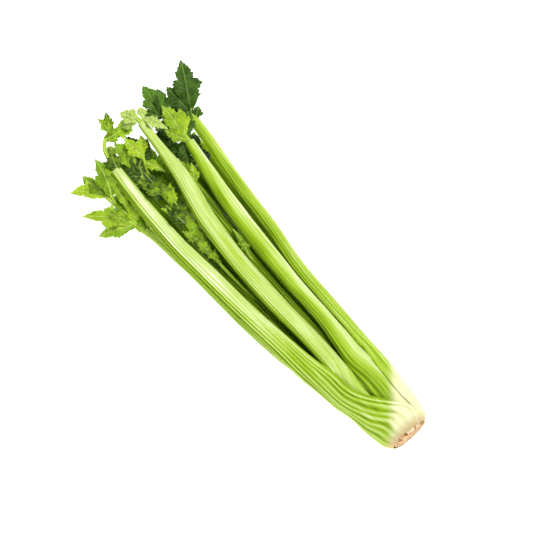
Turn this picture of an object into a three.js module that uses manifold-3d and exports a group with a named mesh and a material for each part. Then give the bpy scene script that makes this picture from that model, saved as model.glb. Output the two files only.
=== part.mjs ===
// A head of celery lying on its side: a cut butt, thirteen ribbed stalks that clasp each other
// round it, and the leafy sprays at their tops. Millimetres. While it is built, x runs from the
// cut butt to the leaf tips, y goes across and z is up from the surface it lies on; the finished
// head is then shifted so that its origin is under the middle of its bounding box.

import * as THREE from 'three';
import { mergeVertices } from 'three/addons/utils/BufferGeometryUtils.js';
import Module from 'manifold-3d';

const wasm = await Module();
wasm.setup();

// ---------------------------------------------------------------- driving dimensions
const axisHeight = 27.6;        // the butt's axis above the surface
const clearance = 0.35;         // between two neighbouring pieces
const cutRadius = 14.4;         // of the face that the knife left on the butt
const cutSlant = 4.5;           // degrees that the cut leans, its lower edge further along the head
const layerPitch = 4.1;         // from one ring of stalk feet to the next ring in
const ringStart = [2.4, 9, 14, 19];  // where the feet of each ring begin, outermost first
// x, radius and wall of the outermost ring of feet, at the middle of the wall
const outerRing = [[2.4, 17.5, 1.7], [4.5, 18.9, 2.6], [8, 21.2, 3.4], [17, 23.2, 3.6], [28, 24.8, 3.6]];
const footEnd = 20;             // past here a foot spans its opened angles
const stations = [4.5, 8, 17, 28, 42, 56, 70, 86, 104, 132, 175, 218, 258, 292];
const innerStations = [17, 28, 42, 56, 70, 86, 104, 150, 200, 250, 290];  // from the third ring in
const ribPoints = [11, 9, 7, 7];  // outer points of a section by ring; every second one is a ridge
const ribHeight = 0.028;        // of the stalk's width
const ribFade = 4;              // power by which the ribs die out toward both rims
const rimThinning = 0.75;       // of the wall's square that is lost from the middle to a free rim
// Up to `from` a rim lies against the ring inside it and only its outer face comes in, by this
// power of the distance from the middle and this share of half the wall; past `to` it is free
const hug = { from: 60, to: 104, power: 5, taper: 1.25 };
const hollowStep = 8;           // about how far apart a foot's inner points are
const hollowRoom = 0.6;         // least radius of a hollow
const stemSides = 5;
const bladeThickness = 0.9;
const broadFrom = 12;           // a leaflet this wide or wider has the broad outline
// How a blade departs from flat, in shares of its length or width: the fold along its midrib, the
// droop of its tip, its twist in radians and the waves of its edge, each drawn from its number
const blade = {
  fold: 0.15, foldSway: 0.6, foldStep: 2.4, droop: 0.09, twist: 0.7, twistStep: 1.7,
  wave: 0.08, waveTurns: 8, waveStep: 2.1, sideStep: 1.3,
};
const smoothing = 0.01;         // largest shift of a surface when spare points are dropped

const colours = {
  butt: '#d8b07a', stalk: '#b4cf52', heart: '#dfe9a6', bright: '#86b52c', mid: '#5f9426', dark: '#3a6a2c',
};

// Each stalk: the ring its foot sits in (0 is outermost), the two angles its foot spans, those
// at the end of the foot where they differ, then rows of x, y, z, facing, width, wall, curl. y and
// z are the middle of the wall. Angles are in degrees about x: 0 faces up and 90 faces -y. Curl is
// half the angle that the section spans.
const stalks = {
  stalk_a: { ring: 0, span: [-120, 42], opened: [-118, 12], rows: [
    [44, 24, 38.3, -66, 42.5, 3.8, 49], [60, 28.3, 37.5, -70, 39, 4.4, 41],
    [82, 31.3, 39, -60, 34, 5.2, 52], [100, 33.5, 38.5, -47, 28, 6, 64],
    [128, 36, 37.5, -38, 25, 6.8, 72], [171, 40, 36.5, -35, 23, 7.2, 76],
    [214, 43, 36.5, -35, 22, 7, 78], [258, 46, 37, -34, 20, 6.6, 78],
    [302, 45.5, 37.5, -32, 17.5, 6.2, 78], [341, 43.5, 38.5, -30, 15, 5.8, 80]] },
  stalk_d: { ring: 0, span: [46, 150], opened: [38, 146], rows: [
    [60, -26.4, 29, 87.5, 46.5, 4.2, 53.5], [82, -25.6, 29.5, 84, 37, 5.4, 50],
    [102, -24.6, 31, 76, 26, 7, 62], [132, -24.4, 31.5, 72, 23, 7.8, 72],
    [176, -24.8, 31.5, 70, 21.5, 8, 76], [220, -30, 32, 68, 20, 7.8, 78],
    [263, -33.4, 32, 62, 19, 7.4, 80], [307, -38.2, 33, 50, 17, 6.4, 80],
    [336, -40.9, 33, 45, 15, 5.6, 80]] },
  stalk_g: { ring: 0, span: [154, 236], rows: [
    [60, 8.5, 0.8, 194, 35, 3.8, 37], [82, 4.5, 1.6, 190, 27, 4.6, 46],
    [102, 3, 3.2, 184, 21, 5.6, 60], [170, 7.5, 4.4, 180, 21, 6.6, 74],
    [250, 11.5, 4.2, 180, 19, 6, 78], [330, 13, 3.4, 178, 15, 5.2, 80]] },
  stalk_e: { ring: 1, span: [-170, -75], rows: [
    [60, 20.5, 13.5, -130, 30, 3.8, 38], [84, 28.5, 17, -118, 23, 5, 52],
    [104, 33, 18, -110, 19.5, 5.6, 66], [128, 37.5, 18, -106, 19, 6.2, 74],
    [175, 43, 18.5, -102, 18, 6.2, 76], [218, 45.5, 18.5, -100, 16.5, 6, 78],
    [262, 50, 19, -98, 15, 5.4, 80], [280, 52.5, 20.5, -96, 14.5, 5.4, 80],
    [294, 56.5, 21.5, -94, 13, 5, 80]] },
  stalk_b: { ring: 1, span: [-71, -19], rows: [
    [60, 15.5, 45.9, -36, 20, 4, 27], [82, 12.6, 46.9, -16, 19.5, 5.2, 46],
    [100, 12.3, 47, -8, 19, 6.2, 54], [126, 13, 47, -4, 19.5, 7, 58],
    [170, 15, 47.5, -2, 20.5, 7.4, 60], [213, 15.4, 48.5, -2, 20.5, 7.4, 60],
    [257, 11.8, 49.5, -1, 21, 7.2, 62], [279, 7.4, 50, 0, 20.5, 6.8, 66],
    [300, 3.8, 51, 0, 17.5, 6.2, 70], [327, 2.4, 52, 2, 12.5, 5.2, 80],
    [356, 0.5, 52.5, 4, 10.5, 4.6, 80]] },
  stalk_c: { ring: 1, span: [-16, 92], rows: [
    [60, -10, 48, 28, 31, 4, 42], [84, -7, 46.8, 15, 25, 5.4, 58], [104, -8, 46, 12, 21, 6.2, 68],
    [128, -8.8, 46, 12, 18.5, 7, 74], [172, -8.6, 45.5, 10, 19.5, 7.2, 76],
    [215, -10.6, 45.5, 11, 20.5, 7, 76], [259, -13.6, 46, 12, 19, 6.6, 78],
    [285, -17, 46, 13, 16.5, 6, 80], [303, -19.5, 46, 14, 14, 5.6, 80],
    [318, -21.5, 46, 14, 12.5, 5.2, 80]] },
  stalk_h: { ring: 1, span: [96, 186], rows: [
    [60, -13.6, 9.8, 140, 32, 3.8, 40], [82, -15.5, 10, 142, 25, 4.6, 50],
    [102, -17.2, 10, 144, 20, 5.6, 64], [170, -20.5, 8.4, 152, 19, 6.4, 76],
    [250, -26.5, 5.9, 164, 18, 6, 78], [333, -33, 3.6, 176, 15, 5.2, 80]] },
  stalk_f: { ring: 2, span: [-110, -20], rows: [
    [60, 19.2, 35.5, -67, 25, 3.6, 37], [82, 20.5, 34.5, -54, 18, 4.2, 50],
    [102, 20.5, 32.5, -40, 15, 4.8, 66], [170, 23, 31, -8, 16.5, 5.4, 70],
    [250, 26, 31.5, -4, 15.5, 5, 74], [322, 28, 32, -8, 9.5, 4.2, 80]] },
  stalk_i: { ring: 2, span: [-16, 74], rows: [
    [60, -4, 46, 17, 27, 3.6, 41], [82, 0, 41, 10, 19, 4.2, 52], [102, 0.8, 36.5, 6, 15, 4.8, 66],
    [170, 1.5, 34, 4, 14, 5.4, 78], [238, -0.4, 35, 4, 13, 4.8, 80], [298, -2, 36, 4, 11, 4.2, 80]] },
  stalk_j: { ring: 2, span: [78, 168], rows: [
    [60, -15, 18.5, 120, 26, 3.6, 40], [82, -14.5, 21.5, 106, 18, 4.2, 52],
    [102, -12.5, 23, 98, 15, 4.8, 66], [170, -11.5, 25, 66, 14, 5.2, 76],
    [250, -9.8, 27, 30, 14.5, 4.8, 76], [318, -13, 28, 22, 12, 4.2, 78]] },
  stalk_k: { ring: 2, span: [172, 246], rows: [
    [60, 9.9, 11, 206, 23, 3.6, 34], [82, 14.5, 12.5, 208, 18, 4.2, 48],
    [102, 19.5, 10.8, 206, 16, 5, 62], [170, 27, 6.4, 196, 18, 6, 76],
    [250, 30, 4.6, 188, 16, 5.8, 78], [328, 33, 2.6, 184, 14, 5.2, 80]] },
  heart_1: { ring: 3, span: [-95, 80], rows: [
    [60, 4, 36, -14, 16, 3.4, 66], [100, 8, 25.5, -20, 11.5, 4, 78], [170, 11.5, 20, -10, 11, 4.4, 80],
    [300, 14, 22, 0, 8.5, 3.6, 80]] },
  heart_2: { ring: 3, span: [85, 260], rows: [
    [60, 2, 22, 168, 16, 3.4, 66], [100, -1, 17, 160, 11.5, 4, 78], [170, -2, 19, 150, 11, 4.4, 80],
    [305, -5, 21, 140, 8.5, 3.6, 80]] },
};

// Half outlines of a leaflet, from its base to its tip: how far along, how far out. The broad
// one has a toothed lobe on each side and a toothed end, and the small one two teeth a side.
const broadLeaf = {
  rib: [0, 0.33, 0.64],
  edge: [[0, 0.06], [0.26, 0.46], [0.31, 0.72], [0.35, 0.62], [0.46, 1], [0.57, 0.82], [0.59, 0.44],
    [0.71, 0.6], [0.8, 0.32], [1, 0]],
};
const smallLeaf = {
  rib: [0, 0.35, 0.65],
  edge: [[0, 0.1], [0.33, 0.86], [0.38, 0.62], [0.5, 0.98], [0.57, 0.52], [0.7, 0.58], [1, 0]],
};

// Each spray: stems as [radius at the root, radius at the end, points ...] and leaflets as
// [base, tip, width, roll in degrees, arch as a share of the length].
const sprays = {
  leaves_e_low: { colour: 'bright', stems: [
    [3.2, 2.2, [289, 55.5, 21], [296, 57, 23], [303, 61, 24.5]]],
  leaflets: [
    [[299, 60, 23.5], [331, 87, 26], 21, 8, 0.1], [[297, 59, 23.5], [309, 88, 20], 16, -10, 0.12],
    [[295, 59, 22], [303, 78, 17], 12, 14, 0.1], [[301, 60, 24.5], [320, 71, 30], 12, -16, 0.1]] },
  leaves_e_high: { colour: 'mid', stems: [
    [2.6, 1.8, [290, 55, 23], [304, 57, 26], [320, 60, 28.5], [333, 62.5, 30.5]],
    [1.7, 1.4, [316, 59.5, 28], [323, 59, 31], [329, 58.5, 32.5]]],
  leaflets: [
    [[326, 59, 31.5], [360, 48, 38], 24, 18, 0.1], [[330, 62, 30], [353, 83, 30], 20, 12, 0.12],
    [[331, 62, 30.5], [356, 67, 35], 16, -12, 0.1], [[308, 56, 27], [340, 51, 36], 12, 30, 0.08]] },
  leaves_a_top: { colour: 'mid', stems: [
    [2.2, 1.3, [334, 42, 36], [352, 40.5, 42], [361, 37.5, 45], [367, 30, 46], [367, 22, 46]]],
  leaflets: [
    [[366, 26, 46], [384, 25.5, 48], 13, 20, 0.08], [[367, 23, 46], [385, 17, 46], 10, -20, 0.08],
    [[366.5, 34, 45], [363, 16.5, 46], 14, 24, 0.14], [[351, 40, 42], [360, 31, 39], 12, 10, 0.1],
    [[338, 41, 38.5], [357, 35.5, 42.5], 14, -12, 0.12]] },
  leaves_f_top: { colour: 'mid', stems: [
    [2, 1.4, [314, 28, 32], [324, 28.5, 34], [334, 28.5, 37]]],
  leaflets: [
    [[333, 28.5, 36.5], [360, 27, 41], 22, 6, 0.1], [[326, 28, 34.5], [347, 37, 32], 18, -14, 0.12],
    [[321, 27.5, 33.5], [346, 20, 34], 22, 8, 0.1]] },
  leaves_f_side: { colour: 'bright', stems: [
    [1.7, 1.2, [312, 26, 34], [324, 21, 38.5], [337, 16, 42]]],
  leaflets: [
    [[333, 17, 41.5], [356, 20.5, 46], 16, -8, 0.1], [[336, 15.5, 42], [350, 6.5, 43.5], 11, 8, 0.1],
    [[330, 19, 40.2], [312, 11, 42.5], 11, 4, 0.1]] },
  leaves_inner: { colour: 'mid', stems: [
    [1.6, 1.1, [176, 23.5, 32], [200, 26, 35], [230, 27.5, 37], [262, 27, 38.5], [292, 25.5, 39],
      [304, 25, 39.5]]],
  leaflets: [
    [[298, 25.5, 39], [322, 25.5, 43], 15, -8, 0.1], [[294, 26, 39], [320, 34, 41.5], 12, -16, 0.1],
    [[285, 25.5, 39], [308, 21.5, 43], 13, 14, 0.1], [[281, 25.5, 39], [302, 14.5, 41], 11, -10, 0.12],
    [[263, 27, 38.5], [288, 30, 42], 14, -12, 0.1], [[272, 27, 38.5], [289, 34.5, 40.5], 9, 10, 0.1],
    [[245, 27.5, 38], [261, 34, 41.5], 11, -10, 0.12],
    [[240, 27.5, 37.5], [258, 21, 38.5], 10, 12, 0.1], [[217, 27, 36], [242, 31, 39], 9, 16, 0.08]] },
  leaves_b_top: { colour: 'mid', stems: [
    [2.6, 1.8, [350, 1, 52], [358, 1, 52.5], [362, 2, 52.5]],
    [1.6, 1.2, [355, 0, 52], [358, -3.5, 52.5]]],
  leaflets: [
    [[358, 2, 52.5], [376, 9, 50.5], 17, 0, 0.08], [[359, 3, 52], [368, 17, 48], 13, -14, 0.12],
    [[358, -2.5, 52], [369, -8, 49.5], 11, 12, 0.1],
    [[357.5, -3, 52.5], [337, -12.5, 54], 11, 10, 0.16]] },
  leaves_c_top: { colour: 'dark', stems: [
    [2.4, 1.4, [312, -20.5, 44.5], [326, -20, 43], [342, -18.5, 43], [356, -18.5, 44.5]]],
  leaflets: [
    [[352, -18.5, 44], [383, -23, 46.5], 23, 4, 0.08], [[350, -19, 43.5], [374, -32, 43], 17, 14, 0.1],
    [[350, -18, 44], [366, -8, 43], 14, -14, 0.12], [[324, -18, 41], [302, -8, 37.5], 14, 8, 0.02],
    [[330, -18, 42], [347, -8, 40.5], 15, 8, 0.12],
    [[322, -20, 42.5], [343, -41, 42.5], 14, 10, 0.1]] },
  leaves_c_bright: { colour: 'bright', stems: [
    [2, 1.2, [313, -21.5, 46], [322, -21.5, 47.5], [329, -21.5, 48.5]]],
  leaflets: [
    [[327, -21, 48], [357, -23, 51.5], 20, 4, 0.1], [[320, -20, 47.5], [339, -10, 51], 13, -18, 0.1],
    [[325, -21.5, 48], [347, -34, 46], 13, 12, 0.12]] },
  leaves_d_top: { colour: 'dark', stems: [
    [2.6, 1.6, [329, -40.3, 32.5], [338, -41.5, 35.5], [344, -43, 37]],
    [1.6, 1.2, [330, -38.5, 34.5], [337, -36.5, 37.5]]],
  leaflets: [
    [[342, -42.4, 36.6], [382, -64.5, 41.5], 27, 4, 0.08],
    [[341, -41, 36.5], [371, -39, 40], 19, -14, 0.1], [[342, -42, 36], [363, -59, 33], 15, 12, 0.12],
    [[335, -37, 37], [346, -32.5, 41], 13, 0, 0.1],
    [[334, -40.8, 34.2], [341, -50, 36], 12, 14, 0.12]] },
  leaves_i_top: { colour: 'bright', stems: [
    [1.6, 1.1, [286, -0.5, 35.5], [290, -2, 38.5]]],
  leaflets: [
    [[288, -1.5, 37.5], [303, -11, 43], 12, 10, 0.1],
    [[289, -2, 37.5], [317, -2, 36.5], 16, 0, 0.08]] },
  leaf_i_low: { colour: 'bright', stems: [
    [1.3, 1, [203, 3, 34.5], [209, 4, 38.5]]],
  leaflets: [
    [[207, 4, 37.5], [235, -0.5, 43], 9, 10, 0.08]] },
  leaves_g_top: { colour: 'mid', stems: [
    [2.2, 1.4, [322, 13, 5], [334, 13, 8], [342, 13, 10]]],
  leaflets: [
    [[340, 13, 10], [366, 11, 14], 21, 4, 0.12], [[335, 13, 8], [349, 0, 7], 15, 10, 0.14]] },
  leaves_h_top: { colour: 'dark', stems: [
    [2.2, 1.4, [325, -32.4, 5], [337, -33.5, 9], [345, -35, 12]]],
  leaflets: [
    [[343, -34.5, 11.5], [368, -42, 18], 21, 6, 0.12],
    [[338, -33.5, 9], [350, -49, 9], 15, 10, 0.14]] },
  leaves_k_top: { colour: 'mid', stems: [
    [2.2, 1.4, [320, 33, 4.5], [332, 34, 8], [340, 36, 11]]],
  leaflets: [
    [[338, 35.5, 10.5], [360, 43, 17], 20, -6, 0.12], [[333, 34, 8], [343, 52, 9], 15, -8, 0.14]] },
  leaves_heart: { colour: 'bright', stems: [
    [1.6, 1.2, [294, 14, 21.5], [306, 14, 22.5], [320, 13, 24]]],
  leaflets: [
    [[314, 13.5, 23], [344, 10, 29], 25, 0, 0.1], [[300, 14, 22], [320, 2, 24.5], 19, 8, 0.12]] },
  leaves_j_top: { colour: 'dark', stems: [
    [1.8, 1.2, [312, -12.8, 28], [324, -13.5, 29], [332, -14, 30]]],
  leaflets: [
    [[330, -14, 29.5], [356, -14, 33], 26, 6, 0.12], [[323, -14, 28.5], [343, -1, 29], 20, -8, 0.12]] },
};

// ---------------------------------------------------------------- solids
const radians = THREE.MathUtils.degToRad;

// The direction that faces `degrees` round the x axis, 0 being up and 90 being -y
function facing(degrees) {
  return new THREE.Vector3(0, -Math.sin(radians(degrees)), Math.cos(radians(degrees)));
}

function solid(points, triangles) {
  const mesh = new wasm.Mesh({
    numProp: 3,
    vertProperties: new Float32Array(points.flatMap((point) => [point.x, point.y, point.z])),
    triVerts: new Uint32Array(triangles.flat()),
  });
  return new wasm.Manifold(mesh);
}

function solidOf(geometry) {
  const bare = geometry.clone();
  bare.deleteAttribute('normal');
  bare.deleteAttribute('uv');
  const merged = mergeVertices(bare, 1e-4);
  return new wasm.Manifold(new wasm.Mesh({
    numProp: 3,
    vertProperties: new Float32Array(merged.attributes.position.array),
    triVerts: new Uint32Array(merged.index.array),
  }));
}

// The biggest piece of a solid that a cut may have left in several
function mainPiece(body) {
  return body.decompose().sort((a, b) => b.volume() - a.volume())[0];
}

function meshOf(name, body, colour) {
  const { vertProperties, triVerts } = body.getMesh();
  const geometry = new THREE.BufferGeometry();
  geometry.setAttribute('position', new THREE.BufferAttribute(new Float32Array(vertProperties), 3));
  geometry.setIndex(new THREE.BufferAttribute(new Uint32Array(triVerts), 1));
  geometry.computeVertexNormals();
  const material = new THREE.MeshStandardMaterial({ color: colour, roughness: 0.55, metalness: 0 });
  const mesh = new THREE.Mesh(geometry, material);
  mesh.name = name;
  return mesh;
}

// A skin through rings of points that run counter-clockwise seen from +x, closed by two caps
function skin(rings, capTriangles) {
  const count = rings[0].length;
  const triangles = [];
  for (let k = 0; k + 1 < rings.length; k += 1) {
    for (let i = 0; i < count; i += 1) {
      const j = (i + 1) % count;
      const [a, b] = [k * count + i, k * count + j];
      triangles.push([a, b, b + count], [a, b + count, a + count]);
    }
  }
  const last = (rings.length - 1) * count;
  for (const [a, b, c] of capTriangles) {
    triangles.push([c, b, a], [last + a, last + b, last + c]);
  }
  return solid(rings.flat(), triangles);
}

// Smooth interpolation of every column of `rows` at x, rows being ordered by their first column
function rowAt(rows, x) {
  const last = rows.length - 1;
  let k = 0;
  while (k < last - 1 && x > rows[k + 1][0]) k += 1;
  const before = rows[Math.max(k - 1, 0)];
  const [from, to] = [rows[k], rows[k + 1]];
  const after = rows[Math.min(k + 2, last)];
  const span = to[0] - from[0];
  const t = THREE.MathUtils.clamp((x - from[0]) / span, 0, 1);
  return from.map((value, column) => {
    const slopeIn = (to[column] - before[column]) / (to[0] - before[0]) * span;
    const slopeOut = (after[column] - from[column]) / (after[0] - from[0]) * span;
    const rise = to[column] - value;
    return value + t * slopeIn + t * t * (3 * rise - 2 * slopeIn - slopeOut)
      + t * t * t * (slopeIn + slopeOut - 2 * rise);
  });
}

// What is left of a body behind the knife's plane, which meets the butt's top at x = 0
function knifeCut(body) {
  const slant = radians(cutSlant);
  const normal = [Math.cos(slant), 0, Math.sin(slant)];
  return body.trimByPlane(normal, (axisHeight + cutRadius) * Math.sin(slant));
}

// ---------------------------------------------------------------- stalks
// All rows of a stalk as x, y, z, facing, radius, wall, curl: first its foot, then its own rows
function stalkRows({ ring, span, opened = span, rows }) {
  const start = ringStart[ring];
  const places = [start, ...outerRing.map(([x]) => x).filter((x) => x > start + 2)];
  const foot = places.map((x) => {
    const [, outer, wall] = rowAt(outerRing, x);
    const radius = outer - ring * layerPitch;
    const [first, last] = x > footEnd ? opened : span;
    const middle = facing((first + last) / 2).multiplyScalar(radius);
    return [x, middle.y, axisHeight + middle.z, (first + last) / 2, radius, wall, (last - first) / 2];
  });
  const free = rows.map(([x, y, z, turn, width, wall, bend]) => (
    [x, y, z, turn, width / 2 / Math.sin(radians(bend)) - wall / 2, wall, bend]));
  return [...foot, ...free];
}

// One section of a stalk: a ribbed back and a smooth hollow, thinner toward both rims
function stalkSection([x, y, z, turn, radius, wall, curl], backPoints, hollowPoints, grow) {
  const centre = new THREE.Vector3(x, y, z).addScaledVector(facing(turn), -radius);
  const reach = curl + THREE.MathUtils.radToDeg(grow / radius);
  const width = 2 * radius * Math.sin(radians(Math.min(curl, 90)));
  const points = [];
  const place = (share, height) => {
    points.push(centre.clone().addScaledVector(facing(turn + share * reach), radius + height));
  };
  const free = THREE.MathUtils.smoothstep(x, hug.from, hug.to);
  const half = (share, hugging) => {
    const even = Math.sqrt(1 - rimThinning * share * share);
    return wall / 2 * THREE.MathUtils.lerp(hugging, even, free) + grow;
  };
  for (let i = 0; i < backPoints; i += 1) {
    const share = 2 * i / (backPoints - 1) - 1;
    const rib = (i % 2 ? 0.5 : -0.5) * ribHeight * width;
    const outside = half(share, 1 - hug.taper * Math.abs(share) ** hug.power);
    place(share, outside + rib * (1 - Math.abs(share) ** ribFade));
  }
  for (let i = 0; i < hollowPoints; i += 1) {
    const share = 1 - 2 * i / (hollowPoints - 1);
    place(share, -Math.min(half(share, 1), radius - hollowRoom));
  }
  return points;
}

// The caps of a stalk, from a plain section with the same number of points
function stalkCap(backPoints, hollowPoints) {
  const outline = stalkSection([0, 0, 0, 0, 10, 5, 70], backPoints, hollowPoints, 0)
    .map((point) => new THREE.Vector2(point.y, point.z));
  const faces = THREE.ShapeUtils.triangulateShape(outline, []);
  return faces.map(([a, b, c]) => {
    const turn = (outline[b].x - outline[a].x) * (outline[c].y - outline[a].y)
      - (outline[b].y - outline[a].y) * (outline[c].x - outline[a].x);
    return turn > 0 ? [a, b, c] : [a, c, b];
  });
}

function stalkBody(plan, grow = 0) {
  const rows = stalkRows(plan);
  const start = rows[0][0];
  const end = rows[rows.length - 1][0];
  const backPoints = ribPoints[plan.ring];
  const hollowPoints = Math.max(4, Math.ceil(radians(2 * rows[0][6]) * rows[0][4] / hollowStep) + 1);
  const between = plan.ring < 2 ? stations : innerStations;
  const places = [start, ...between.filter((x) => x > start + 1 && x < end - 8), end];
  const sections = places.map((x) => stalkSection(rowAt(rows, x), backPoints, hollowPoints, grow));
  if (grow > 0) {
    sections[0].forEach((point) => { point.x -= grow; });
    sections[sections.length - 1].forEach((point) => { point.x += grow; });
  }
  return skin(sections, stalkCap(backPoints, hollowPoints));
}

// ---------------------------------------------------------------- leaves
// A stem: rings along a smooth curve through its points, thinning from its root to its end
function stemBody([rootRadius, endRadius, ...route], grow) {
  const curve = new THREE.CatmullRomCurve3(route.map((point) => new THREE.Vector3(...point)));
  const steps = route.length;
  const { normals, binormals } = curve.computeFrenetFrames(steps, false);
  const rings = [];
  for (let k = 0; k <= steps; k += 1) {
    const radius = THREE.MathUtils.lerp(rootRadius, endRadius, k / steps) + grow;
    rings.push(Array.from({ length: stemSides }, (_, i) => {
      const angle = 2 * Math.PI * i / stemSides;
      return curve.getPoint(k / steps)
        .addScaledVector(normals[k], radius * Math.cos(angle))
        .addScaledVector(binormals[k], radius * Math.sin(angle));
    }));
  }
  const fan = Array.from({ length: stemSides - 2 }, (_, i) => [0, i + 1, i + 2]);
  return skin(rings, fan);
}

// How far a blade's point stands above the line from its base to its tip, u along and v out
function bladeHeight(u, v, length, width, arch, index) {
  const bend = 4 * arch * u * (1 - u) - blade.droop * u ** 3;
  const fold = blade.fold * (1 + blade.foldSway * Math.sin(blade.foldStep * index)) * Math.abs(v);
  const twist = blade.twist * Math.sin(blade.twistStep * index + 1) * (u - 0.4) * v / 2;
  const phase = blade.waveStep * index + (v > 0 ? blade.sideStep : 0);
  const wave = blade.wave * Math.sin(blade.waveTurns * u + phase) * v * v;
  return (bend + wave) * length + (fold + twist) * width;
}

// One leaflet: folded along its midrib, arched from base to tip, twisted and waved, with both
// faces split into triangles alike
function leafletBody([base, tip, width, roll, arch], index, grow) {
  const { rib, edge } = width >= broadFrom ? broadLeaf : smallLeaf;
  const from = new THREE.Vector3(...base);
  const along = new THREE.Vector3(...tip).sub(from);
  const length = along.length();
  along.normalize();
  const side = new THREE.Vector3(0, 0, 1).cross(along).normalize().applyAxisAngle(along, radians(roll));
  const up = along.clone().cross(side);
  const points = [];
  const place = (u, v) => {
    const height = bladeHeight(u, v, length, width, arch, index);
    const outward = v * (width / 2 + grow);
    for (const face of [0.5, -0.5]) {
      points.push(from.clone()
        .addScaledVector(along, u * length + (u - 0.5) * 2 * grow)
        .addScaledVector(side, outward)
        .addScaledVector(up, height + face * (bladeThickness + 2 * grow)));
    }
  };
  rib.forEach((u) => place(u, 0));
  edge.forEach(([u, v]) => place(u, v));
  edge.slice(0, -1).forEach(([u, v]) => place(u, -v));
  const ribAt = (i) => 2 * i;
  const leftAt = (i) => 2 * (rib.length + i);
  const rightAt = (i) => (i === edge.length - 1 ? leftAt(i) : 2 * (rib.length + edge.length + i));

  const triangles = [];
  const both = (a, b, c) => triangles.push([a, b, c], [a + 1, c + 1, b + 1]);
  const wall = (a, b) => triangles.push([a, b, b + 1], [a, b + 1, a + 1]);
  for (const [edgeAt, left] of [[leftAt, true], [rightAt, false]]) {
    const face = (a, b, c) => (left ? both(a, c, b) : both(a, b, c));
    let [i, j] = [0, 0];
    while (i < rib.length - 1 || j < edge.length - 1) {
      const ribNext = i < rib.length - 1 ? rib[i + 1] : Infinity;
      const edgeNext = j < edge.length - 1 ? edge[j + 1][0] : Infinity;
      if (edgeNext <= ribNext) {
        face(ribAt(i), edgeAt(j), edgeAt(j + 1));
        j += 1;
      } else {
        face(ribAt(i), edgeAt(j), ribAt(i + 1));
        i += 1;
      }
    }
    for (let k = 0; k < edge.length - 1; k += 1) {
      if (left) wall(edgeAt(k), edgeAt(k + 1));
      else wall(edgeAt(k + 1), edgeAt(k));
    }
  }
  wall(ribAt(0), leftAt(0));
  wall(rightAt(0), ribAt(0));
  return solid(points, triangles);
}

function sprayBody({ stems, leaflets }, grow = 0) {
  return wasm.Manifold.union([
    ...stems.map((stem) => stemBody(stem, grow)),
    ...leaflets.map((leaflet, index) => leafletBody(leaflet, index, grow)),
  ]);
}

// ---------------------------------------------------------------- butt
// The stem plate: a short dry collar behind the cut, then a core that steps in behind each ring
// of feet
function buttBody() {
  const profile = [[-1, 0], [-1, cutRadius - 0.6], [0, cutRadius], [1.2, 15.4], [2.3, 16.1], [4.5, 16.9],
    [8.4, 18.4], [8.5, 14.8], [13.6, 16.1], [13.7, 11.2], [18.6, 12.3], [18.7, 7], [25, 0]];
  const lathe = new THREE.LatheGeometry(profile.map(([x, radius]) => new THREE.Vector2(radius, x)), 26);
  lathe.rotateZ(-Math.PI / 2);
  lathe.translate(0, 0, axisHeight);
  return knifeCut(solidOf(lathe));
}

// ---------------------------------------------------------------- the head
const head = new THREE.Group();
const taken = [];      // what is already built, grown by the clearance

// A piece is cut clear of what is already built, and flat where it meets the surface
function addPiece(name, body, grown, colour) {
  let piece = body.trimByPlane([0, 0, 1], 0);
  for (const other of taken) piece = piece.subtract(other);
  piece = mainPiece(piece).simplify(smoothing);
  taken.push(grown);
  head.add(meshOf(name, piece, colour));
}

const butt = buttBody();
head.add(meshOf('butt', butt, colours.butt));
for (const [name, plan] of Object.entries(stalks)) {
  const colour = name.startsWith('heart') ? colours.heart : colours.stalk;
  addPiece(name, knifeCut(stalkBody(plan)), stalkBody(plan, clearance), colour);
}
for (const [name, spray] of Object.entries(sprays)) {
  addPiece(name, sprayBody(spray), sprayBody(spray, clearance), colours[spray.colour]);
}

const size = new THREE.Box3().setFromObject(head);
head.position.set(-(size.min.x + size.max.x) / 2, -(size.min.y + size.max.y) / 2, -size.min.z);

export default head;
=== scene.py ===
# A head of celery on a pale studio floor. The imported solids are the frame; every one of them is
# replaced here by a finer piece of the same form. Lengths in the tables are millimetres along the
# head: x from the cut butt to the leaf tips, y across it, z up from the floor.
import math
import random

import bpy
from mathutils import Matrix, Vector, noise


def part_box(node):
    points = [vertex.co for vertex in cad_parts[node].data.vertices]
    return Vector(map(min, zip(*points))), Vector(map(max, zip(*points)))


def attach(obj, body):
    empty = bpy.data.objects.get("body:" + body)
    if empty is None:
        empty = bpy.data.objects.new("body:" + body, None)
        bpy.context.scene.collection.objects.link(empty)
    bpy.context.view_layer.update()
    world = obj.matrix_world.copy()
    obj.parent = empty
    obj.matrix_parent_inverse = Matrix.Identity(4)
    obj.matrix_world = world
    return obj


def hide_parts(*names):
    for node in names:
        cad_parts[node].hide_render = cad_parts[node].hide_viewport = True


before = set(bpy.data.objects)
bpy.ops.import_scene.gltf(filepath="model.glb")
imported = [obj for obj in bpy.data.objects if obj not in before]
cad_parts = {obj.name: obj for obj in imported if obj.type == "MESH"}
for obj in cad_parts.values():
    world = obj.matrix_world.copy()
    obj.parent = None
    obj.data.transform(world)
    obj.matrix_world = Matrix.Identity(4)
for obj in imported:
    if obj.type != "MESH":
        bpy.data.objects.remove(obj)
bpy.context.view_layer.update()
buttLow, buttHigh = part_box("butt")
mm = 0.001


def place(x, y, z):  # from millimetres along the head to metres in the frame
    return Vector((buttLow.x + x * mm, (buttLow.y + buttHigh.y) / 2 + y * mm, z * mm))


def linear(code):  # an sRGB hex colour as linear RGBA
    channels = [int(code[i:i + 2], 16) / 255 for i in (1, 3, 5)]
    return [c / 12.92 if c <= 0.04045 else ((c + 0.055) / 1.055) ** 2.4 for c in channels] + [1]


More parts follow.
